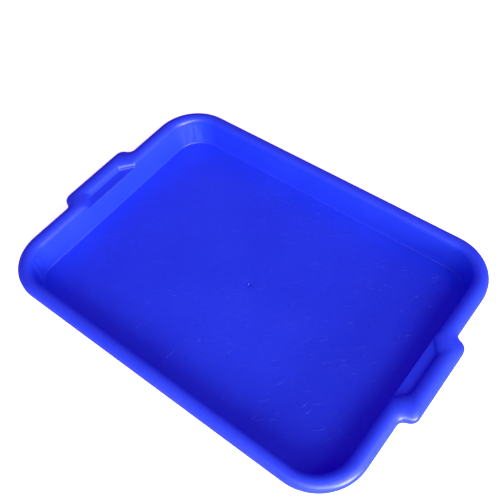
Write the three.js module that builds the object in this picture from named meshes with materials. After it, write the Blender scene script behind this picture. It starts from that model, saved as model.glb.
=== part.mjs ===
// One-piece moulded serving tray: a drafted basin with a rolled rim, a down-turned lip
// and a grip bowed out of the rim at each end. Millimetres, +Z up, X along the tray.
import * as THREE from "three";

// ---- Overall sizes -------------------------------------------------------------------
const RIM_LENGTH = 424;            // outer edge to outer edge, without the handles
const RIM_WIDTH = 310;
const RIM_CORNER_RADIUS = 52;
const RIM_HEIGHT = 37;             // crown of the rim above the tray floor
const WALL = 2.4;                  // moulded thickness everywhere

// ---- Basin ---------------------------------------------------------------------------
const WALL_DRAFT = THREE.MathUtils.degToRad(5);
const WALL_CORNER_RADIUS = 35;     // inner wall where it meets the rim
const FLOOR_FILLET = 1.2;

// ---- Foot ring -----------------------------------------------------------------------
const FOOT_HEIGHT = 1.5;           // floor underside above the table
const FOOT_WIDTH = 5;              // flat band that rests on the table
const FOOT_DRAFT = 0.6;            // sideways lean of the inner flank of the foot
const FOOT_OUTER_FILLET = 3;

// ---- Rim -----------------------------------------------------------------------------
const END_RIM = 17;                // wall to outer edge at the short sides
const SIDE_RIM = 14.2;             // wall to outer edge at the long sides
const RIM_ARCH = 6;                // height of the half-round roll of the rim
const LIP_DEPTH = 11;              // crown to the lower edge of the lip

// ---- Handles -------------------------------------------------------------------------
const HANDLE_REACH = 13;           // outer face beyond the outer edge of the rim
const HANDLE_TIP_HALF = 45.5;      // half width at the outer face
const HANDLE_ROOT_HALF = 51;       // half width where the handle leaves the rim
const HANDLE_TIP_FILLET = 7;       // tangent lengths of the roundings at the outer face
const HANDLE_ROOT_FILLET = 5;
const SHOULDER_FILLET = 8;         // the same where the crown turns out to the grip
const LEDGE_DROP = 8.5;            // ledge below the crown
const LEDGE_REACH = 11.7;          // ledge depth outward from the wall
const LEDGE_TIP_HALF = 24;
const LEDGE_ROOT_HALF = 38;
const LEDGE_FILLET = 1.5;
const LEDGE_RISE = 0.5;            // fall of the ledge towards the basin

// ---- Facets --------------------------------------------------------------------------
const CORNER_STEPS = 12;
const FILLET_STEPS = 4;
const ARC_STEPS = 3;
const ARCH_STEPS = 8;

// ---- Heights and half sizes that follow ----------------------------------------------
const WALL_TOP = RIM_HEIGHT - RIM_ARCH;
const LEDGE_HEIGHT = RIM_HEIGHT - LEDGE_DROP;
const LIP_HEIGHT = RIM_HEIGHT - LIP_DEPTH;
const FLOOR_UNDERSIDE = -WALL;
const FOOT_BOTTOM = FLOOR_UNDERSIDE - FOOT_HEIGHT;
const WALL_HALF_LENGTH = RIM_LENGTH / 2 - END_RIM;
const WALL_HALF_WIDTH = RIM_WIDTH / 2 - SIDE_RIM;
const QUARTER = Math.PI / 2;
const SLOPE_BEND = QUARTER / 2;    // turn from the ledge up into the shoulder slopes

// Plan shapes of a handle at one level: how far it bows out, and its half widths.
const flush = { reach: 0, tip: LEDGE_TIP_HALF, root: LEDGE_ROOT_HALF,
  tipFillet: LEDGE_FILLET, rootFillet: LEDGE_FILLET };
const ledge = { ...flush, reach: LEDGE_REACH };
const outer = { reach: HANDLE_REACH, tip: HANDLE_TIP_HALF, root: HANDLE_ROOT_HALF,
  tipFillet: HANDLE_TIP_FILLET, rootFillet: HANDLE_ROOT_FILLET };

/** The handle shape part of the way over the rim, from the ledge (0) to the outside (1). */
function overRim(share) {
  const mixed = {};
  for (const key of Object.keys(outer)) {
    mixed[key] = THREE.MathUtils.lerp(ledge[key], outer[key], share);
  }
  mixed.rootFillet += (SHOULDER_FILLET - LEDGE_FILLET) * Math.sin(Math.PI * share);
  return mixed;
}

/** A handle shape moved outward through the moulded thickness, corners and all. */
function thickened(shape, offset) {
  return { ...shape, tip: shape.tip + offset, root: shape.root + offset };
}

/** How far the drafted wall stands inside its own top at a height above the floor. */
function wallInset(height) {
  return (WALL_TOP - height) * Math.tan(WALL_DRAFT);
}

/**
 * One level of the skin: a rounded rectangle with a handle bowed out of each short side.
 * offset is parallel to the wall top, share runs from the wall top (0) to the rim (1).
 */
function level(offset, share, height, handle) {
  return {
    halfLength: WALL_HALF_LENGTH + offset + share * END_RIM,
    halfWidth: WALL_HALF_WIDTH + offset + share * SIDE_RIM,
    radius: THREE.MathUtils.lerp(WALL_CORNER_RADIUS, RIM_CORNER_RADIUS, share) + offset,
    height,
    handle,
  };
}

/** Points of a rounding that starts and ends a tangent length away from a corner. */
function rounding(before, corner, after, tangent) {
  const start = corner.clone().add(before.clone().sub(corner).setLength(tangent));
  const end = corner.clone().add(after.clone().sub(corner).setLength(tangent));
  return new THREE.QuadraticBezierCurve(start, corner, end).getPoints(FILLET_STEPS);
}

/** The short side that faces +X, with the round corners before and after it. */
function endSide({ halfLength, halfWidth, radius, handle }) {
  const straight = halfWidth - radius;
  const bowed = halfLength + handle.reach;
  const corners = [
    new THREE.Vector2(halfLength, -straight),
    new THREE.Vector2(halfLength, -handle.root),
    new THREE.Vector2(bowed, -handle.tip),
    new THREE.Vector2(bowed, handle.tip),
    new THREE.Vector2(halfLength, handle.root),
    new THREE.Vector2(halfLength, straight),
  ];
  const fillets = [handle.rootFillet, handle.tipFillet, handle.tipFillet, handle.rootFillet];
  const side = fillets.flatMap((tangent, i) =>
    rounding(corners[i], corners[i + 1], corners[i + 2], tangent));
  return [...cornerArc(halfLength, halfWidth, radius, -1), ...side,
    ...cornerArc(halfLength, halfWidth, radius, 1)];
}

/** The rounded corner on the +X end, before (-1) or after (1) the short side. */
function cornerArc(halfLength, halfWidth, radius, side) {
  const first = side < 0 ? -QUARTER : 0;
  return Array.from({ length: CORNER_STEPS + 1 }, (_, i) => {
    const angle = first + QUARTER * i / CORNER_STEPS;
    return new THREE.Vector2(
      halfLength - radius + radius * Math.cos(angle),
      side * (halfWidth - radius) + radius * Math.sin(angle));
  });
}

/** The closed outline of a level, counter-clockwise as seen from above. */
function outline(ring) {
  const end = endSide(ring);
  const opposite = end.map((p) => p.clone().negate());
  return [...end, ...opposite].map((p) => new THREE.Vector3(p.x, p.y, ring.height));
}

/** Levels of a quarter round, from its start to its end. */
function sweep(make) {
  return Array.from({ length: ARC_STEPS + 1 }, (_, i) => make(QUARTER * i / ARC_STEPS));
}

/** Levels of the top skin, from the edge of the floor to the outer edge of the rim. */
function topLevels() {
  const floorEdge = sweep((angle) => {
    const height = FLOOR_FILLET * (1 - Math.cos(angle));
    const offset = -wallInset(height) - FLOOR_FILLET * (1 - Math.sin(angle));
    return level(offset, 0, height, flush);
  });
  const ledgeEdge = [
    level(-wallInset(LEDGE_HEIGHT), 0, LEDGE_HEIGHT, flush),
    level(-wallInset(LEDGE_HEIGHT + LEDGE_RISE), 0, LEDGE_HEIGHT + LEDGE_RISE, ledge),
  ];
  return [...floorEdge, ...ledgeEdge, ...arch(0)];
}

/** Levels over the half-round rim, from the wall top outward, some depth inside its skin. */
function arch(depth) {
  return Array.from({ length: ARCH_STEPS + 1 }, (_, i) => {
    const angle = Math.PI * i / ARCH_STEPS;
    const share = (1 - Math.cos(angle)) / 2;
    const height = WALL_TOP + (RIM_ARCH - depth) * Math.sin(angle);
    return level(depth * Math.cos(angle), share, height, thickened(overRim(share), -depth * share));
  });
}

/** Levels of the lip and the underside, from the outer edge of the rim to the foot. */
function undersideLevels() {
  const lip = [
    level(0, 1, LIP_HEIGHT, outer),
    level(-WALL, 1, LIP_HEIGHT, thickened(outer, -WALL)),
  ];
  const hollow = arch(WALL).reverse();
  const bendShift = WALL * Math.tan(SLOPE_BEND / 2);
  const ledgeUnderside = thickened({ ...ledge, reach: LEDGE_REACH + bendShift - WALL }, bendShift);
  const ledgeUnder = LEDGE_HEIGHT + LEDGE_RISE - WALL;
  const wallOutside = [
    level(WALL - wallInset(ledgeUnder), 0, ledgeUnder, ledgeUnderside),
    level(WALL - wallInset(LEDGE_HEIGHT - WALL), 0, LEDGE_HEIGHT - WALL, flush),
  ];
  const heel = sweep((angle) => level(
    WALL - wallInset(0) - FOOT_OUTER_FILLET * (1 - Math.cos(angle)), 0,
    FOOT_BOTTOM + FOOT_OUTER_FILLET * (1 - Math.sin(angle)), flush));
  const footInside = WALL - wallInset(0) - FOOT_OUTER_FILLET - FOOT_WIDTH;
  const foot = [
    level(footInside, 0, FOOT_BOTTOM, flush),
    level(footInside - FOOT_DRAFT, 0, FLOOR_UNDERSIDE, flush),
  ];
  return [...lip, ...hollow, ...wallOutside, ...heel, ...foot];
}

/** A closed skin through the levels, with a fan over the first and under the last. */
function closedSkin(levels) {
  const rings = levels.map(outline);
  const count = rings[0].length;
  const points = rings.flat();
  const indices = [];
  for (let i = 0; i + 1 < rings.length; i += 1) {
    for (let j = 0; j < count; j += 1) {
      const here = i * count + j;
      const next = i * count + (j + 1) % count;
      indices.push(here, here + count, next, next, here + count, next + count);
    }
  }
  const top = points.push(new THREE.Vector3(0, 0, levels[0].height)) - 1;
  const bottom = points.push(new THREE.Vector3(0, 0, levels.at(-1).height)) - 1;
  const last = (rings.length - 1) * count;
  for (let j = 0; j < count; j += 1) {
    const next = (j + 1) % count;
    indices.push(top, j, next, bottom, last + next, last + j);
  }
  const geometry = new THREE.BufferGeometry().setFromPoints(points);
  geometry.setIndex(indices);
  geometry.computeVertexNormals();
  return geometry;
}

/** The whole moulding, standing on its foot ring at Z = 0. */
function tray() {
  const geometry = closedSkin([...topLevels(), ...undersideLevels()]);
  geometry.translate(0, 0, -FOOT_BOTTOM);
  const plastic = new THREE.MeshStandardMaterial({ color: "#1c2ee0", roughness: 0.28, metalness: 0 });
  const mesh = new THREE.Mesh(geometry, plastic);
  mesh.name = "tray";
  return mesh;
}

const group = new THREE.Group();
group.add(tray());

export default group;
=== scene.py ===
"""A one-piece moulded serving tray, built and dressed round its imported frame.

The tray is one polypropylene moulding: a drafted basin, a half-round rolled rim with a
turned-down lip, and a grip bowed out of the rim at each end over a lowered ledge. Lengths
are written in millimetres and turned to metres where a mesh is made.
"""

import logging
import math
from dataclasses import dataclass, field, replace
from enum import Enum
from typing import Any, Mapping, Sequence, Union

import bpy
import numpy as np
from mathutils import Matrix, Vector


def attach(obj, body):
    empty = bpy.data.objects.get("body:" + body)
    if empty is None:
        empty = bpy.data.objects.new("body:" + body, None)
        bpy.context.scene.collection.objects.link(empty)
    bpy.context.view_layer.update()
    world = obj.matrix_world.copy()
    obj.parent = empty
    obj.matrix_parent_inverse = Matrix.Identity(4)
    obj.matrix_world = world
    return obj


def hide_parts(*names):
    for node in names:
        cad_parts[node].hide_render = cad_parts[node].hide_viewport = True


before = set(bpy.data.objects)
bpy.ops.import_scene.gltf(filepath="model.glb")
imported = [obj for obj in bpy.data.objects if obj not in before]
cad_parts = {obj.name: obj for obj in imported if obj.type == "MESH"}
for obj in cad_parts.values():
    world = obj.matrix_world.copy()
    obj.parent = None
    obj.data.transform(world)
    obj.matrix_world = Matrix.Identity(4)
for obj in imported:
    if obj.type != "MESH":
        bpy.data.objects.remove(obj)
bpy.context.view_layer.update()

log = logging.getLogger("serving_tray")

MM = 0.001
WEAR = "wear"
RIDGE_AND_HIGHLIGHT = "ridge_and_highlight"


class Body(Enum):
    """Bodies of the frame that a piece can ride on."""

    ROOT = "root"


class Slot(Enum):
    """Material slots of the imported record."""

    BLUE_PLASTIC = "blue_plastic"


class CadNode(Enum):
    """Nodes of the frame that a piece stands for."""

    TRAY = "tray"


# ---------------------------------------------------------------------------------------
# Node trees
# ---------------------------------------------------------------------------------------
Number = Union[float, int, "Signal"]


class Graph:
    """A node tree that hands out sockets as numbers that can be added and multiplied."""

    def __init__(self, tree: bpy.types.NodeTree) -> None:
        """Starts from an empty tree.

        Args:
            tree: The shader or geometry tree to fill.
        """
        self.tree = tree
        self.tree.nodes.clear()

    def add(self, kind: str, settings: Mapping[str, Any] | None = None,
            inputs: Mapping[str | int, Any] | None = None) -> bpy.types.Node:
        """Adds one node, sets it up and feeds its sockets.

        Args:
            kind: The node's type name.
            settings: Properties of the node, set before its sockets are fed.
            inputs: Values, sockets or signals, by socket name or position.

        Returns:
            The new node.
        """
        node = self.tree.nodes.new(kind)
        for name, value in (settings or {}).items():
            setattr(node, name, value)
        for name, value in (inputs or {}).items():
            self.feed(node.inputs[name], value)
        return node

    def feed(self, socket: bpy.types.NodeSocket, value: Any) -> None:
        """Links or sets one input socket.

        Args:
            socket: The input socket.
            value: A signal, a socket or a plain value.
        """
        if isinstance(value, Signal):
            value = value.socket
        if isinstance(value, bpy.types.NodeSocket):
            self.tree.links.new(value, socket)
        else:
            socket.default_value = value

    def number(self, node: bpy.types.Node, output: str | int = 0) -> "Signal":
        """Wraps an output socket as a number."""
        return Signal(self, node.outputs[output])

    def math(self, operation: str, *values: Number) -> "Signal":
        """Adds one Math node.

        Args:
            operation: The Math node's operation.
            *values: Its operands, numbers or signals.

        Returns:
            The result as a signal.
        """
        node = self.add("ShaderNodeMath", {"operation": operation}, dict(enumerate(values)))
        return self.number(node)


class Signal:
    """A number socket that can be used in a Python expression."""

    def __init__(self, graph: Graph, socket: bpy.types.NodeSocket) -> None:
        """Wraps a socket of a graph.

        Args:
            graph: The tree that the socket is in.
            socket: The output socket.
        """
        self.graph = graph
        self.socket = socket

    def __add__(self, other: Number) -> "Signal":
        """Adds a number or signal."""
        return self.graph.math("ADD", self, other)

    __radd__ = __add__

    def __sub__(self, other: Number) -> "Signal":
        """Takes away a number or signal."""
        return self.graph.math("SUBTRACT", self, other)

    def __rsub__(self, other: Number) -> "Signal":
        """Is taken away from a number."""
        return self.graph.math("SUBTRACT", other, self)

    def __mul__(self, other: Number) -> "Signal":
        """Multiplies by a number or signal."""
        return self.graph.math("MULTIPLY", self, other)

    def clamped(self, low: float = 0.0, high: float = 1.0) -> "Signal":
        """Keeps the number between two limits."""
        return self.graph.math("MINIMUM", self.graph.math("MAXIMUM", self, low), high)

    def step(self, start: float, end: float) -> "Signal":
        """Rises smoothly from 0 to 1 between two values.

        Args:
            start: The value where the rise starts.
            end: The value where it is complete.

        Returns:
            The smoothed signal.
        """
        node = self.graph.add(
            "ShaderNodeMapRange", {"interpolation_type": "SMOOTHSTEP"},
            {"Value": self, "From Min": start, "From Max": end})
        return self.graph.number(node)


# ---------------------------------------------------------------------------------------
# Finishes
# ---------------------------------------------------------------------------------------
@dataclass(frozen=True)
class GlossPlastic:
    """Polished injection-moulded polypropylene with light use marks and painted highlight streaks
    on its round corners.
    """

    name: str = "glossy_blue_polypropylene"
    deep: tuple[float, float, float] = (0.0115, 0.034, 0.79)
    bright: tuple[float, float, float] = (0.0145, 0.041, 0.86)
    pale_mark_and_highlight: tuple[float, float, float] = (0.07, 0.12, 0.88)
    roughness: float = 0.36
    index: float = 1.49
    cloud_scale: float = 9.0
    peel_scale: float = 240.0
    grain_scale: float = 1500.0
    scratch_scale: float = 34.0
    scratch_stretch: float = 42.0
    scuff_scale: float = 21.0
    scratch_turns: tuple[float, ...] = (0.4, 1.5, 2.6)
    scratch_sharpness: float = 60.0
    ridge_and_highlight_scale: float = 170.0
    ridge_and_highlight_stretch: float = 0.04
    cloud_share: float = 0.7
    rubbed_paleness: float = 0.12
    scratch_paleness: float = 0.05
    scuff_paleness: float = 0.06
    highlight_streak_paleness: float = 0.20
    cloud_dulling: float = 0.08
    peel_dulling: float = 0.05
    rubbed_dulling: float = 0.12
    scratch_dulling: float = 0.16
    scuff_dulling: float = 0.10
    bump_strength: float = 0.14
    bump_distance: float = 0.0002

    def build(self) -> bpy.types.Material:
        """Makes the material.

        Returns:
            The finished material.
        """
        material = bpy.data.materials.new(self.name)
        material.use_nodes = True
        graph = Graph(material.node_tree)
        place = graph.add("ShaderNodeTexCoord").outputs["Object"]
        cloud = self._noise(graph, place, self.cloud_scale, detail=3.0)
        peel = self._noise(graph, place, self.peel_scale, detail=2.0)
        grain = self._noise(graph, place, self.grain_scale, detail=1.0)
        scuff = self._noise(graph, place, self.scuff_scale, detail=4.0).step(0.66, 0.80)
        scratches = self._scratches(graph, place)
        ridges_and_highlight_streaks = self._ridges_and_highlight_streaks(graph, place)
        rubbed = (self._painted(graph, WEAR) * grain.step(0.40, 0.66)).clamped()
        clouds = cloud.step(0.3, 0.7) * self.cloud_share
        tone = clouds + peel.step(0.35, 0.65) * (1.0 - self.cloud_share)
        body = self._mix(graph, tone, self.deep, self.bright)
        # The pale marks are wear, scratches and scuffs, plus painted highlight streaks on the
        # round corners.
        marks = (rubbed * self.rubbed_paleness + scratches * self.scratch_paleness
                 + scuff * self.scuff_paleness + ridges_and_highlight_streaks * self.highlight_streak_paleness)
        colour = self._mix(graph, marks.clamped(), body, self.pale_mark_and_highlight)
        roughness = (self.roughness + (cloud - 0.5) * self.cloud_dulling
                     + (peel - 0.5) * self.peel_dulling + rubbed * self.rubbed_dulling
                     + scratches * self.scratch_dulling
                     + scuff * self.scuff_dulling).clamped(0.08, 0.9)
        relief = peel * 0.6 + grain * 0.2 - scratches * 0.5 + ridges_and_highlight_streaks * 0.4
        bump = graph.add("ShaderNodeBump", inputs={
            "Strength": self.bump_strength, "Distance": self.bump_distance,
            "Height": relief})
        shader = graph.add("ShaderNodeBsdfPrincipled", inputs={
            "Base Color": colour, "Roughness": roughness, "IOR": self.index,
            "Normal": bump.outputs[0]})
        graph.add("ShaderNodeOutputMaterial", inputs={"Surface": shader.outputs[0]})
        return material

    @staticmethod
    def _mix(graph: Graph, share: Signal, first: Any, second: Any) -> bpy.types.NodeSocket:
        """Mixes two colours.

        Args:
            graph: The material's graph.
            share: How much of the second colour.
            first: A colour or a colour socket.
            second: A colour or a colour socket.

        Returns:
            The mixed colour's socket.
        """
        ends = [(*end, 1.0) if isinstance(end, tuple) else end for end in (first, second)]
        node = graph.add("ShaderNodeMix", {"data_type": "RGBA"},
                         {"Factor": share, 6: ends[0], 7: ends[1]})
        return node.outputs[2]

    @staticmethod
    def _painted(graph: Graph, name: str) -> Signal:
        """Reads a mask painted on the mesh's points."""
        return graph.number(graph.add("ShaderNodeAttribute", {"attribute_name": name}), "Fac")

    @staticmethod
    def _noise(graph: Graph, place: Any, scale: float, detail: float) -> Signal:
        """Adds a noise over the surface.

        Args:
            graph: The material's graph.
            place: The coordinates.
            scale: Features per metre.
            detail: Octaves.

        Returns:
            The noise as a number near a half.
        """
        node = graph.add("ShaderNodeTexNoise", inputs={
            "Vector": place, "Scale": scale, "Detail": detail, "Roughness": 0.5})
        return graph.number(node)

    def _ridges_and_highlight_streaks(self, graph: Graph, place: Any) -> Signal:
        """Adds upright streaks on the round corners: raised ridges in the bump and painted
        highlight streaks in the colour.

        Args:
            graph: The material's graph.
            place: The coordinates.

        Returns:
            A mask that is 1 on a streak and 0 elsewhere.
        """
        upright = graph.add("ShaderNodeMapping", inputs={
            "Vector": place, "Scale": (1.0, 1.0, self.ridge_and_highlight_stretch)})
        line = self._noise(graph, upright.outputs[0], self.ridge_and_highlight_scale, detail=1.0)
        # Upright noise kept to the masked corners: its paleness is a painted highlight, its
        # relief is real ridges.
        return (line.step(0.50, 0.64) * self._painted(graph, RIDGE_AND_HIGHLIGHT)).clamped()

    def _scratches(self, graph: Graph, place: Any) -> Signal:
        """Adds fine straight marks in three directions.

        Args:
            graph: The material's graph.
            place: The coordinates.

        Returns:
            A mask that is 1 on a mark and 0 elsewhere.
        """
        marks: Number = 0.0
        for turn in self.scratch_turns:
            turned = graph.add("ShaderNodeMapping", inputs={
                "Vector": place, "Rotation": (0.0, 0.0, turn),
                "Scale": (1.0, self.scratch_stretch, 1.0)})
            line = self._noise(graph, turned.outputs[0], self.scratch_scale, detail=1.0)
            gate = self._noise(graph, place, self.scratch_scale * 0.6 + turn, detail=0.0)
            off_line = graph.math("ABSOLUTE", line - 0.5)
            thin = (1.0 - off_line * self.scratch_sharpness).clamped()
            marks = thin * gate.step(0.56, 0.72) + marks
        return marks.clamped()


@dataclass(frozen=True)
class StudioPaper:
    """Backlit matt white paper with a faint mottle."""

    name: str = "white_backdrop_paper"
    light: tuple[float, float, float] = (0.92, 0.92, 0.92)
    dark: tuple[float, float, float] = (0.88, 0.88, 0.89)
    roughness: float = 0.85
    glow: float = 0.8
    mottle_scale: float = 4.0

    def build(self) -> bpy.types.Material:
        """Makes the material.

        Returns:
            The finished material.
        """
        material = bpy.data.materials.new(self.name)
        material.use_nodes = True
        graph = Graph(material.node_tree)
        place = graph.add("ShaderNodeTexCoord").outputs["Object"]
        mottle = graph.number(graph.add("ShaderNodeTexNoise", inputs={
            "Vector": place, "Scale": self.mottle_scale}))
        colour = graph.add("ShaderNodeMix", {"data_type": "RGBA"}, {
            "Factor": mottle, 6: (*self.dark, 1.0), 7: (*self.light, 1.0)})
        shader = graph.add("ShaderNodeBsdfPrincipled", inputs={
            "Base Color": colour.outputs[2], "Roughness": self.roughness,
            "Emission Color": (1.0, 1.0, 1.0, 1.0), "Emission Strength": self.glow})
        graph.add("ShaderNodeOutputMaterial", inputs={"Surface": shader.outputs[0]})
        return material


# ---------------------------------------------------------------------------------------
# The moulding
# ---------------------------------------------------------------------------------------
@dataclass(frozen=True)
class HandlePlan:
    """Plan shape of a handle at one level, in millimetres."""

    reach: float
    tip_half: float
    root_half: float
    tip_fillet: float
    root_fillet: float

    def toward(self, other: "HandlePlan", share: float) -> "HandlePlan":
        """Mixes this shape with another.

        Args:
            other: The shape at a share of one.
            share: How far to go.

        Returns:
            The mixed shape.
        """
        return HandlePlan(*(
            getattr(self, name) * (1.0 - share) + getattr(other, name) * share
            for name in self.__dataclass_fields__))

    def thickened(self, offset: float) -> "HandlePlan":
        """Moves the corners outward through a thickness."""
        return replace(self, tip_half=self.tip_half + offset, root_half=self.root_half + offset)


@dataclass(frozen=True)
class Level:
    """One closed line round the skin of the tray, in millimetres."""

    half_length: float
    half_width: float
    radius: float
    height: float
    plan: HandlePlan
    wear: float = 0.0
    # How much the round corners carry raised ridges and painted highlight streaks.
    ridge_and_highlight: float = 0.0


@dataclass(frozen=True)
class BasinSize:
    """Floor, walls and foot, in millimetres."""

    draft: float = math.radians(5.0)
    corner_radius: float = 35.0
    floor_fillet: float = 1.2
    foot_height: float = 1.5
    foot_width: float = 5.0
    foot_draft: float = 0.6
    heel_fillet: float = 3.0


@dataclass(frozen=True)
class RimSize:
    """Rolled rim and lip, in millimetres."""

    length: float = 424.0
    width: float = 310.0
    height: float = 37.0
    corner_radius: float = 52.0
    end_breadth: float = 17.0
    side_breadth: float = 14.2
    arch: float = 6.0
    lip_depth: float = 11.0


@dataclass(frozen=True)
class HandleSize:
    """Grip and ledge, in millimetres."""

    ledge_drop: float = 8.5
    ledge_rise: float = 0.5
    ledge_rounding: float = 0.5
    shoulder_fillet: float = 8.0
    flush: HandlePlan = HandlePlan(0.0, 24.0, 38.0, 1.5, 1.5)
    ledge: HandlePlan = HandlePlan(11.7, 24.0, 38.0, 1.5, 1.5)
    outside: HandlePlan = HandlePlan(13.0, 45.5, 51.0, 7.0, 5.0)


@dataclass(frozen=True)
class GateSize:
    """The moulding gate's nub in its shallow dish, in millimetres."""

    dish_radius: float = 4.2
    dish_depth: float = 0.8
    nub_radius: float = 2.1
    nub_height: float = 2.1
    ring_count: int = 7


@dataclass
class Moulding:
    """The tray's single skin, from the gate mark over the rim to the underside."""

    basin: BasinSize = field(default_factory=BasinSize)
    rim: RimSize = field(default_factory=RimSize)
    handle: HandleSize = field(default_factory=HandleSize)
    gate: GateSize = field(default_factory=GateSize)
    wall: float = 2.4
    corner_steps: int = 28
    fillet_steps: int = 10
    arc_steps: int = 8
    arch_steps: int = 36
    wall_steps: int = 8
    lip_wear: float = 0.4
    underside_ring: float = 4.0

    CAP_SHARES = (0.04, 0.15, 0.35, 0.6, 0.85, 0.97, 0.995)

    @property
    def wall_top(self) -> float:
        """Height where the wall turns into the rim."""
        return self.rim.height - self.rim.arch

    @property
    def ledge_height(self) -> float:
        """Height of the ledge at the wall."""
        return self.rim.height - self.handle.ledge_drop

    @property
    def foot_bottom(self) -> float:
        """Height of the table below the floor."""
        return -self.wall - self.basin.foot_height

    def inset(self, height: float) -> float:
        """How far the drafted wall stands inside its own top."""
        return (self.wall_top - height) * math.tan(self.basin.draft)

    def level(self, offset: float, share: float, height: float, plan: HandlePlan,
              wear: float = 0.0, ridge_and_highlight: float = 0.0) -> Level:
        """Makes one closed line round the tray.

        Args:
            offset: Distance outward from the wall top.
            share: Where it is over the rim, 0 at the wall and 1 at the outside.
            height: Height above the tray floor.
            plan: Shape of the handles on this line.
            wear: How rubbed the plastic is here.
            ridge_and_highlight: How much its round corners carry raised ridges and painted
                highlight streaks.

        Returns:
            The line.
        """
        rim, basin = self.rim, self.basin
        return Level(
            rim.length / 2 - rim.end_breadth * (1.0 - share) + offset,
            rim.width / 2 - rim.side_breadth * (1.0 - share) + offset,
            basin.corner_radius + (rim.corner_radius - basin.corner_radius) * share + offset,
            height, plan, wear, ridge_and_highlight)

    def over_rim(self, share: float) -> HandlePlan:
        """Shape of the handles part of the way over the rim."""
        handle = self.handle
        mixed = handle.ledge.toward(handle.outside, share)
        extra = (handle.shoulder_fillet - handle.ledge.root_fillet) * math.sin(math.pi * share)
        return replace(mixed, root_fillet=mixed.root_fillet + extra)

    def arch(self, depth: float) -> list[Level]:
        """Lines over the half-round rim, some depth inside its skin.

        Args:
            depth: Distance under the outer skin.

        Returns:
            The lines from the wall outward.
        """
        lines = []
        for angle in np.linspace(0.0, math.pi, self.arch_steps + 1):
            share = (1.0 - math.cos(angle)) / 2
            height = self.wall_top + (self.rim.arch - depth) * math.sin(angle)
            plan = self.over_rim(share).thickened(-depth * share)
            wear = math.sin(angle) ** 3 if depth == 0.0 else 0.0
            lines.append(self.level(depth * math.cos(angle), share, height, plan, wear))
        return lines

    def inner_lines(self) -> list[Level]:
        """Lines from the edge of the floor up the wall and over the ledge."""
        basin, handle = self.basin, self.handle
        lines = []
        for angle in np.linspace(0.0, math.pi / 2, self.arc_steps + 1):
            height = basin.floor_fillet * (1.0 - math.cos(angle))
            offset = -self.inset(height) - basin.floor_fillet * (1.0 - math.sin(angle))
            lines.append(self.level(offset, 0.0, height, handle.flush))
        rounding = handle.ledge_rounding
        for height in np.linspace(basin.floor_fillet, self.ledge_height - rounding,
                                  self.wall_steps + 1)[1:]:
            # The wall's round corners get raised ridges and painted highlight streaks.
            lines.append(self.level(-self.inset(height), 0.0, height, handle.flush, 0.0, 1.0))
        for rise, reach in self.ledge_section(rounding):
            height = self.ledge_height + rise
            plan = replace(handle.ledge, reach=reach)
            lines.append(self.level(-self.inset(height), 0.0, height, plan))
        return lines

    def ledge_section(self, rounding: float) -> list[tuple[float, float]]:
        """Rise and reach across the ledge, from the wall to the foot of the grip.

        Args:
            rounding: Radius of the ledge's inner edge.

        Returns:
            Pairs of rise above the ledge and reach outward, in order.
        """
        handle = self.handle
        reach, top = handle.ledge.reach, handle.ledge_rise
        return [
            (-rounding * 0.3, rounding * 0.3), (0.0, rounding), (0.02, rounding * 2),
            (top * 0.5, reach / 2), (top * 0.9, reach - 1.4), (top, reach - 0.7),
            (top + 0.25, reach - 0.2), (top + 0.8, reach)]

    def under_lines(self) -> list[Level]:
        """Lines round the lip, under the rim and down the outside to the foot."""
        rim, basin, handle = self.rim, self.basin, self.handle
        bead = self.wall / 2
        lip_centre = rim.height - rim.lip_depth + bead
        lines = []
        for angle in np.linspace(0.0, math.pi, self.arc_steps + 1):
            offset = bead * (math.cos(angle) - 1.0)
            plan = handle.outside.thickened(offset)
            height = lip_centre - bead * math.sin(angle)
            lines.append(self.level(offset, 1.0, height, plan, self.lip_wear))
        lines += self.arch(self.wall)[::-1]
        bend = self.wall * math.tan(math.pi / 8)
        under = self.ledge_height + handle.ledge_rise - self.wall
        below = replace(handle.ledge.thickened(bend), reach=handle.ledge.reach + bend - self.wall)
        lines.append(self.level(self.wall - self.inset(under), 0.0, under, below))
        top = self.ledge_height - self.wall
        bottom = self.foot_bottom + basin.heel_fillet
        for height in np.linspace(top, bottom, self.wall_steps + 1)[:-1]:
            lines.append(self.level(self.wall - self.inset(height), 0.0, height, handle.flush))
        outside = self.wall - self.inset(0.0)
        for angle in np.linspace(0.0, math.pi / 2, self.arc_steps + 1):
            offset = outside - basin.heel_fillet * (1.0 - math.cos(angle))
            height = self.foot_bottom + basin.heel_fillet * (1.0 - math.sin(angle))
            lines.append(self.level(offset, 0.0, height, handle.flush, math.sin(angle)))
        inside = outside - basin.heel_fillet - basin.foot_width
        for step, height, wear in ((0.0, self.foot_bottom, 1.0),
                                   (0.3, self.foot_bottom + 0.1, 0.8),
                                   (basin.foot_draft + 0.2, -self.wall - 0.15, 0.1),
                                   (basin.foot_draft + 0.6, -self.wall, 0.0)):
            lines.append(self.level(inside - step, 0.0, height, handle.flush, wear))
        return lines

    def outline(self, line: Level) -> np.ndarray:
        """Points of one line, counter-clockwise from above.

        Args:
            line: The line to sample.

        Returns:
            An array of points, in millimetres.
        """
        plan = line.plan
        straight = line.half_width - line.radius
        bowed = line.half_length + plan.reach
        corners = np.array([
            (line.half_length, -straight), (line.half_length, -plan.root_half),
            (bowed, -plan.tip_half), (bowed, plan.tip_half),
            (line.half_length, plan.root_half), (line.half_length, straight)])
        fillets = (plan.root_fillet, plan.tip_fillet, plan.tip_fillet, plan.root_fillet)
        side = [self.rounded(*corners[i:i + 3], fillet) for i, fillet in enumerate(fillets)]
        end = np.vstack([self.round_corner(line, -1), *side, self.round_corner(line, 1)])
        flat = np.vstack([end, -end])
        return np.column_stack([flat, np.full(len(flat), line.height)])

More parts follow.
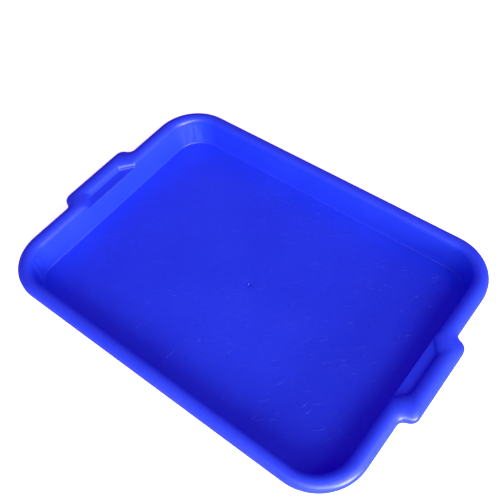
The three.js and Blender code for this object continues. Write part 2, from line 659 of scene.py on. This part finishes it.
    def rounded(self, before: np.ndarray, corner: np.ndarray, after: np.ndarray,
                tangent: float) -> np.ndarray:
        """Rounds one corner of the plan.

        Args:
            before: The corner before it.
            corner: The corner to round.
            after: The corner after it.
            tangent: How far from the corner the rounding starts and ends.

        Returns:
            Points along the rounding.
        """
        start = corner + (before - corner) / np.linalg.norm(before - corner) * tangent
        end = corner + (after - corner) / np.linalg.norm(after - corner) * tangent
        t = np.linspace(0.0, 1.0, self.fillet_steps + 1)[:, None]
        return start * (1 - t) ** 2 + 2 * corner * t * (1 - t) + end * t ** 2

    def corner_mask(self) -> np.ndarray:
        """How far each point of a line is into a round corner of the plan, 0 to 1."""
        swell = np.sin(np.linspace(0.0, math.pi, self.corner_steps + 1))
        end = np.concatenate([swell, np.zeros(4 * (self.fillet_steps + 1)), swell])
        return np.concatenate([end, end])

    def round_corner(self, line: Level, side: int) -> np.ndarray:
        """Points of the round corner before (-1) or after (1) the +X short side."""
        first = -math.pi / 2 if side < 0 else 0.0
        angles = first + np.linspace(0.0, math.pi / 2, self.corner_steps + 1)
        centre = (line.half_length - line.radius, side * (line.half_width - line.radius))
        return np.column_stack([centre[0] + line.radius * np.cos(angles),
                                centre[1] + line.radius * np.sin(angles)])

    def cap(self, edge: np.ndarray, profile: Sequence[tuple[float, float]]) -> list[np.ndarray]:
        """Rings that close a flat face, round at the middle and parallel at the edge.

        Args:
            edge: The face's outline.
            profile: Radius and rise of the round rings, from the middle outward.

        Returns:
            Rings from the middle outward, without the edge itself.
        """
        angles = np.arctan2(edge[:, 1], edge[:, 0])
        circle = np.column_stack([np.cos(angles), np.sin(angles)])
        height = edge[0, 2]
        rings = [np.column_stack([circle * radius, np.full(len(circle), height + rise)])
                 for radius, rise in profile]
        last = rings[-1]
        return rings + [last * (1 - share) + edge * share for share in self.CAP_SHARES]

    def gate_profile(self) -> list[tuple[float, float]]:
        """Radius and rise of the rings of the gate mark, from its middle outward."""
        gate = self.gate
        nub = [(gate.nub_radius * math.sin(a), gate.nub_height * math.cos(a) - gate.dish_depth)
               for a in np.linspace(0.15, math.pi / 2, gate.ring_count)]
        dish = [(gate.nub_radius + (gate.dish_radius - gate.nub_radius) * t,
                 -gate.dish_depth * (1 - t * t * (3 - 2 * t)))
                for t in np.linspace(0.1, 1.0, gate.ring_count)]
        return nub + dish

    def build(self) -> bpy.types.Mesh:
        """Makes the whole skin as one closed mesh standing on its foot.

        Returns:
            The mesh, in metres.
        """
        lines = self.inner_lines() + self.arch(0.0) + self.under_lines()
        rings = [self.outline(line) for line in lines]
        top = self.cap(rings[0], self.gate_profile())
        bottom = self.cap(rings[-1], [(self.underside_ring, 0.0)])[::-1]
        skin = np.array(top + rings + bottom) + np.array((0.0, 0.0, -self.foot_bottom))
        mesh = closed_skin("tray_moulding", skin * MM)
        corners = self.corner_mask()
        bare = (0.0,)
        wear = bare * len(top) + tuple(line.wear for line in lines) + bare * len(bottom)
        ridge_and_highlight = bare * len(top) + tuple(line.ridge_and_highlight for line in lines) + bare * len(bottom)
        paint(mesh, WEAR, np.outer(wear, np.ones_like(corners)))
        # Mask for the corner ridges and painted highlight streaks.
        paint(mesh, RIDGE_AND_HIGHLIGHT, np.outer(ridge_and_highlight, corners))
        return mesh


def closed_skin(name: str, rings: np.ndarray) -> bpy.types.Mesh:
    """Joins rings of points into a closed skin with a fan at each end.

    Args:
        name: The mesh's name.
        rings: Rings of points from the first end to the last, in metres.

    Returns:
        The mesh.
    """
    turns, count = rings.shape[:2]
    points = np.vstack([rings.reshape(-1, 3), rings[0].mean(axis=0), rings[-1].mean(axis=0)])
    here = np.arange(count)
    ahead = (here + 1) % count
    faces: list[list[int]] = []
    for low in range(0, (turns - 1) * count, count):
        high = low + count
        faces += np.column_stack([low + here, high + here, high + ahead, low + ahead]).tolist()
    first, last, end = len(points) - 2, len(points) - 1, (turns - 1) * count
    faces += [[first, int(a), int(b)] for a, b in zip(here, ahead)]
    faces += [[last, int(end + b), int(end + a)] for a, b in zip(here, ahead)]
    mesh = bpy.data.meshes.new(name)
    mesh.from_pydata(points.tolist(), [], faces)
    mesh.validate()
    mesh.shade_smooth()
    return mesh


def paint(mesh: bpy.types.Mesh, name: str, values: np.ndarray) -> None:
    """Stores a mask on the points of a closed skin.

    Args:
        mesh: The skin.
        name: The mask's name.
        values: One value for each ring and point.
    """
    mask = mesh.attributes.new(name, "FLOAT", "POINT")
    ends = [values[0, 0], values[-1, 0]]
    mask.data.foreach_set("value", np.concatenate([values.ravel(), ends]).astype(np.float32))


@dataclass
class FloorRelief:
    """Faint raised curls scattered over the tray floor, in millimetres."""

    floor_half_length: float = 191.0
    floor_half_width: float = 136.8
    floor_radius: float = 32.0
    edge_gap: float = 9.0
    gate_gap: float = 9.0
    spacing: float = 7.5
    density: float = 22000.0
    curl_radius: float = 6.5
    curl_sweep: float = math.radians(115.0)
    narrowest: float = 0.55
    widest: float = 1.3
    end_swell: float = 0.15
    half_breadth: float = 0.55
    height: float = 0.14
    sides: int = 5
    steps: int = 9
    seed: int = 7

    SIZES = ("Half Length", "Half Width", "Radius", "Gate Gap", "Spacing", "Curl Radius",
             "Half Breadth", "Height", "Level")

    def tree(self, finish: bpy.types.Material) -> bpy.types.NodeTree:
        """Makes the Geometry Nodes tree that scatters the curls.

        Args:
            finish: The material of the curls.

        Returns:
            The tree.
        """
        tree = bpy.data.node_groups.new("floor_relief", "GeometryNodeTree")
        for name in self.SIZES:
            tree.interface.new_socket(name, in_out="INPUT", socket_type="NodeSocketFloat")
        tree.interface.new_socket("Mesh", in_out="OUTPUT", socket_type="NodeSocketGeometry")
        graph = Graph(tree)
        sizes = graph.add("NodeGroupInput")
        size = {name: graph.number(sizes, name) for name in self.SIZES}
        points = self._places(graph, size)
        turn = graph.add("FunctionNodeRandomValue", {"data_type": "FLOAT"},
                         {2: 0.0, 3: 2.0 * math.pi, "Seed": self.seed + 1})
        across = graph.add("FunctionNodeRandomValue", {"data_type": "FLOAT"},
                           {2: self.narrowest, 3: self.widest, "Seed": self.seed + 2})
        along = graph.add("FunctionNodeRandomValue", {"data_type": "FLOAT"},
                          {2: self.narrowest, 3: self.widest, "Seed": self.seed + 3})
        pick = graph.add("FunctionNodeRandomValue", {"data_type": "INT"},
                         {4: 0, 5: 2, "Seed": self.seed + 4})
        rotation = graph.add("ShaderNodeCombineXYZ", inputs={"Z": turn.outputs[1]})
        scale = graph.add("ShaderNodeCombineXYZ", inputs={
            "X": across.outputs[1], "Y": along.outputs[1], "Z": 1.0})
        spread = graph.add("GeometryNodeInstanceOnPoints", inputs={
            "Points": points, "Instance": self._curls(graph, size), "Pick Instance": True,
            "Instance Index": pick.outputs[2], "Rotation": rotation.outputs[0],
            "Scale": scale.outputs[0]})
        whole = graph.add("GeometryNodeRealizeInstances", inputs={
            "Geometry": spread.outputs[0]})
        dressed = graph.add("GeometryNodeSetMaterial", inputs={
            "Geometry": whole.outputs[0], "Material": finish})
        graph.add("NodeGroupOutput", inputs={"Mesh": dressed.outputs[0]})
        return tree

    def _places(self, graph: Graph, size: Mapping[str, Signal]) -> bpy.types.NodeSocket:
        """Scatters points over the floor, clear of its edge and of the gate mark.

        Args:
            graph: The tree's graph.
            size: The tree's inputs.

        Returns:
            The points.
        """
        half = graph.add("ShaderNodeCombineXYZ", inputs={
            "X": size["Half Length"] - size["Radius"], "Y": size["Half Width"] - size["Radius"]})
        sheet = graph.add("GeometryNodeMeshGrid", inputs={
            "Size X": size["Half Length"] * 2.0, "Size Y": size["Half Width"] * 2.0,
            "Vertices X": 2, "Vertices Y": 2})
        lifted = graph.add("GeometryNodeTransform", inputs={
            "Geometry": sheet.outputs["Mesh"],
            "Translation": graph.add("ShaderNodeCombineXYZ", inputs={
                "Z": size["Level"]}).outputs[0]})
        loose = graph.add("GeometryNodeDistributePointsOnFaces",
                          {"distribute_method": "POISSON"}, {
                              "Mesh": lifted.outputs[0], "Distance Min": size["Spacing"],
                              "Density Max": self.density, "Seed": self.seed})
        flat = graph.add("ShaderNodeVectorMath", {"operation": "MULTIPLY"}, {
            0: graph.add("GeometryNodeInputPosition").outputs[0], 1: (1.0, 1.0, 0.0)})
        folded = graph.add("ShaderNodeVectorMath", {"operation": "ABSOLUTE"}, {
            0: flat.outputs[0]})
        past = graph.add("ShaderNodeVectorMath", {"operation": "SUBTRACT"}, {
            0: folded.outputs[0], 1: half.outputs[0]})
        beyond = graph.add("ShaderNodeVectorMath", {"operation": "MAXIMUM"}, {
            0: past.outputs[0], 1: (0.0, 0.0, 0.0)})
        edge = graph.add("ShaderNodeVectorMath", {"operation": "LENGTH"}, {0: beyond.outputs[0]})
        reach = graph.add("ShaderNodeVectorMath", {"operation": "LENGTH"}, {0: flat.outputs[0]})
        outside = graph.math("GREATER_THAN", graph.number(edge, "Value"), size["Radius"])
        at_gate = graph.math("LESS_THAN", graph.number(reach, "Value"), size["Gate Gap"])
        kept = graph.add("GeometryNodeDeleteGeometry", {"domain": "POINT"}, {
            "Geometry": loose.outputs["Points"],
            "Selection": graph.math("MAXIMUM", outside, at_gate)})
        return kept.outputs[0]

    def _curls(self, graph: Graph, size: Mapping[str, Signal]) -> bpy.types.NodeSocket:
        """Makes the three shapes of curl as instances.

        Args:
            graph: The tree's graph.
            size: The tree's inputs.

        Returns:
            The instances.
        """
        bow = graph.add("GeometryNodeCurveArc", {"mode": "RADIUS"}, {
            "Resolution": self.steps, "Radius": size["Curl Radius"],
            "Sweep Angle": self.curl_sweep})
        hook = graph.add("GeometryNodeCurveSpiral", inputs={
            "Resolution": self.steps + 2, "Rotations": 0.75,
            "Start Radius": size["Curl Radius"] * 0.35, "End Radius": size["Curl Radius"] * 0.9,
            "Height": 0.0})
        sweep = graph.add("GeometryNodeCurveArc", {"mode": "RADIUS"}, {
            "Resolution": self.steps, "Radius": size["Curl Radius"] * 2.0,
            "Sweep Angle": self.curl_sweep * 0.5})
        section = graph.add("GeometryNodeCurvePrimitiveCircle", {"mode": "RADIUS"}, {
            "Resolution": self.sides, "Radius": size["Half Breadth"]})
        share = graph.number(graph.add("GeometryNodeSplineParameter"), "Factor")
        swell = graph.math("SINE", share * math.pi) * (1.0 - self.end_swell) + self.end_swell
        family = graph.add("GeometryNodeGeometryToInstance")
        for curve in (bow, hook, sweep):
            upright = graph.add("GeometryNodeSetCurveNormal", {"mode": "Z_UP"}, {
                "Curve": curve.outputs["Curve"]})
            tapered = graph.add("GeometryNodeSetCurveRadius", inputs={
                "Curve": upright.outputs[0], "Radius": swell})
            solid = graph.add("GeometryNodeCurveToMesh", inputs={
                "Curve": tapered.outputs[0], "Profile Curve": section.outputs["Curve"],
                "Fill Caps": True})
            flat = graph.add("ShaderNodeCombineXYZ", inputs={
                "X": 1.0, "Y": 1.0,
                "Z": graph.math("DIVIDE", size["Height"], size["Half Breadth"])})
            low = graph.add("GeometryNodeTransform", inputs={
                "Geometry": solid.outputs["Mesh"], "Scale": flat.outputs[0]})
            graph.tree.links.new(low.outputs[0], family.inputs[0])
        return family.outputs[0]

    def build(self, level: float, finish: bpy.types.Material) -> bpy.types.Object:
        """Makes the curls as one plain mesh.

        Args:
            level: Height of the floor over the table.
            finish: The material of the curls.

        Returns:
            The object that holds them.
        """
        sizes = (self.floor_half_length - self.edge_gap, self.floor_half_width - self.edge_gap,
                 self.floor_radius - self.edge_gap, self.gate_gap, self.spacing,
                 self.curl_radius, self.half_breadth, self.height, level)
        blank = bpy.data.meshes.new("floor_relief_seed")
        carrier = bpy.data.objects.new("floor_relief_seed", blank)
        bpy.context.scene.collection.objects.link(carrier)
        tree = self.tree(finish)
        modifier = carrier.modifiers.new("floor_relief", "NODES")
        modifier.node_group = tree
        sockets = [item for item in tree.interface.items_tree if item.in_out == "INPUT"]
        for socket, value in zip(sockets, sizes):
            modifier[socket.identifier] = value * MM
        graph = bpy.context.evaluated_depsgraph_get()
        mesh = bpy.data.meshes.new_from_object(carrier.evaluated_get(graph))
        bpy.data.objects.remove(carrier)
        mesh.name = "floor_relief"
        mesh.shade_flat()
        return place_piece("floor_relief", mesh)


def place_piece(name: str, mesh: bpy.types.Mesh) -> bpy.types.Object:
    """Puts a finished mesh into the frame as a piece of the tray.

    Args:
        name: The piece's name.
        mesh: Its mesh, with its material.

    Returns:
        The piece's object.
    """
    piece = bpy.data.objects.new(name, mesh)
    bpy.context.scene.collection.objects.link(piece)
    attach(piece, Body.ROOT.value)
    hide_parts(CadNode.TRAY.value)
    log.info("%s: %d faces", name, len(mesh.polygons))
    return piece


@dataclass
class Tray:
    """The tray: its moulding and the faint relief on its floor, in one finish."""

    moulding: Moulding = field(default_factory=Moulding)
    relief: FloorRelief = field(default_factory=FloorRelief)
    plastic: GlossPlastic = field(default_factory=GlossPlastic)

    def build(self) -> list[bpy.types.Object]:
        """Makes both pieces and puts them in the frame.

        Returns:
            The pieces.
        """
        finish = self.plastic.build()
        mesh = self.moulding.build()
        mesh.materials.append(finish)
        skin = place_piece("tray_moulding", mesh)
        return [skin, self.relief.build(-self.moulding.foot_bottom, finish)]


# ---------------------------------------------------------------------------------------
# Studio
# ---------------------------------------------------------------------------------------
@dataclass(frozen=True)
class Softbox:
    """A square studio light that is aimed at the tray."""

    name: str
    azimuth: float
    elevation: float
    distance: float
    size: float
    power: float
    colour: tuple[float, float, float] = (1.0, 0.98, 0.55)

    def build(self) -> bpy.types.Object:
        """Makes the light.

        Returns:
            The light object.
        """
        data = bpy.data.lights.new(self.name, "AREA")
        data.shape = "SQUARE"
        data.size = self.size
        data.energy = self.power
        data.color = self.colour
        light = bpy.data.objects.new(self.name, data)
        back = bearing(self.azimuth, self.elevation)
        light.location = back * self.distance
        light.rotation_euler = (-back).to_track_quat("-Z", "Y").to_euler()
        light.visible_camera = False
        bpy.context.scene.collection.objects.link(light)
        return light


def bearing(azimuth: float, elevation: float) -> Vector:
    """Direction towards a place round the tray; azimuth 0 is -Y and 90 is +X, in degrees."""
    turn, lift = math.radians(azimuth), math.radians(elevation)
    return Vector((math.sin(turn) * math.cos(lift), -math.cos(turn) * math.cos(lift),
                   math.sin(lift)))


@dataclass(frozen=True)
class Camera:
    """The scene's camera, placed by where it looks."""

    aim: tuple[float, float, float] = (-0.02555, 0.03621, 0.0039)
    azimuth: float = 43.36
    elevation: float = 53.26
    roll: float = -6.70
    distance: float = 0.7787
    lens: float = 50.96

    def build(self) -> bpy.types.Object:
        """Makes the camera.

        Returns:
            The camera object.
        """
        data = bpy.data.cameras.new("camera")
        data.lens = self.lens
        data.clip_start = 0.01
        camera = bpy.data.objects.new("camera", data)
        back = bearing(self.azimuth, self.elevation)
        turn = math.radians(self.azimuth)
        right = Vector((math.cos(turn), math.sin(turn), 0.0))
        up = back.cross(right)
        lean = math.radians(self.roll)
        across = right * math.cos(lean) + up * math.sin(lean)
        along = up * math.cos(lean) - right * math.sin(lean)
        place = Vector(self.aim) + back * self.distance
        camera.matrix_world = Matrix.Translation(place) @ Matrix(
            (across, along, back)).transposed().to_4x4()
        bpy.context.scene.collection.objects.link(camera)
        bpy.context.scene.camera = camera
        return camera


@dataclass
class Studio:
    """Backdrop, lights and camera."""

    paper: StudioPaper = field(default_factory=StudioPaper)
    camera: Camera = field(default_factory=Camera)
    floor_half: float = 6.0
    wall_radius: float = 5.9
    wall_height: float = 4.0
    wall_steps: int = 96
    sky: tuple[float, float, float] = (0.15, 0.015, 0.42)
    lights: tuple[Softbox, ...] = (
        Softbox("low_softbox", 74.0, 11.0, 2.2, 0.8, 92.0),
        Softbox("main_softbox", 45.0, 29.0, 2.2, 1.0, 38.0),
        Softbox("end_softbox", 92.0, 46.0, 2.2, 1.0, 14.0),
        Softbox("front_softbox", 12.0, 44.0, 2.2, 1.0, 8.0),
    )

    def build(self) -> None:
        """Makes everything that isn't part of the object."""
        bpy.context.scene.view_settings.view_transform = "Standard"
        paper = self.paper.build()
        h = self.floor_half
        floor = self.stage("studio_floor", [(-h, -h, 0), (h, -h, 0), (h, h, 0), (-h, h, 0)],
                           [(0, 1, 2, 3)], paper)
        floor.visible_glossy = False
        wall = self.build_wall(paper)
        for kind in ("diffuse", "glossy", "transmission", "volume_scatter", "shadow"):
            setattr(wall, f"visible_{kind}", False)
        for light in self.lights:
            light.build()
        self.camera.build()
        self.build_world()

    def build_wall(self, paper: bpy.types.Material) -> bpy.types.Object:
        """Makes the round backdrop wall behind the floor.

        Args:
            paper: Its material.

        Returns:
            The wall's object.
        """
        turns = np.linspace(0.0, 2.0 * math.pi, self.wall_steps, endpoint=False)
        ring = [(self.wall_radius * math.cos(t), self.wall_radius * math.sin(t)) for t in turns]
        points = [(x, y, z) for z in (0.0, self.wall_height) for x, y in ring]
        n = self.wall_steps
        faces = [((i + 1) % n, i, n + i, n + (i + 1) % n) for i in range(n)]
        return self.stage("studio_wall", points, faces, paper)

    @staticmethod
    def stage(name: str, points: Sequence[Sequence[float]], faces: Sequence[Sequence[int]],
              paper: bpy.types.Material) -> bpy.types.Object:
        """Makes one surface of the studio.

        Args:
            name: Its name.
            points: Its points.
            faces: Its faces.
            paper: Its material.

        Returns:
            The surface's object.
        """
        mesh = bpy.data.meshes.new(name)
        mesh.from_pydata(points, [], faces)
        mesh.materials.append(paper)
        surface = bpy.data.objects.new(name, mesh)
        bpy.context.scene.collection.objects.link(surface)
        return surface

    def build_world(self) -> None:
        """Makes the even light that comes from all round."""
        world = bpy.data.worlds.new("studio_surround")
        world.use_nodes = True
        graph = Graph(world.node_tree)
        shade = graph.add("ShaderNodeBackground", inputs={"Color": (*self.sky, 1.0)})
        graph.add("ShaderNodeOutputWorld", inputs={"Surface": shade.outputs[0]})
        bpy.context.scene.world = world


def main() -> None:
    """Builds the tray and its studio."""
    logging.basicConfig(level=logging.INFO, format="%(name)s: %(message)s")
    Tray().build()
    Studio().build()


if __name__ == "__main__":
    main()
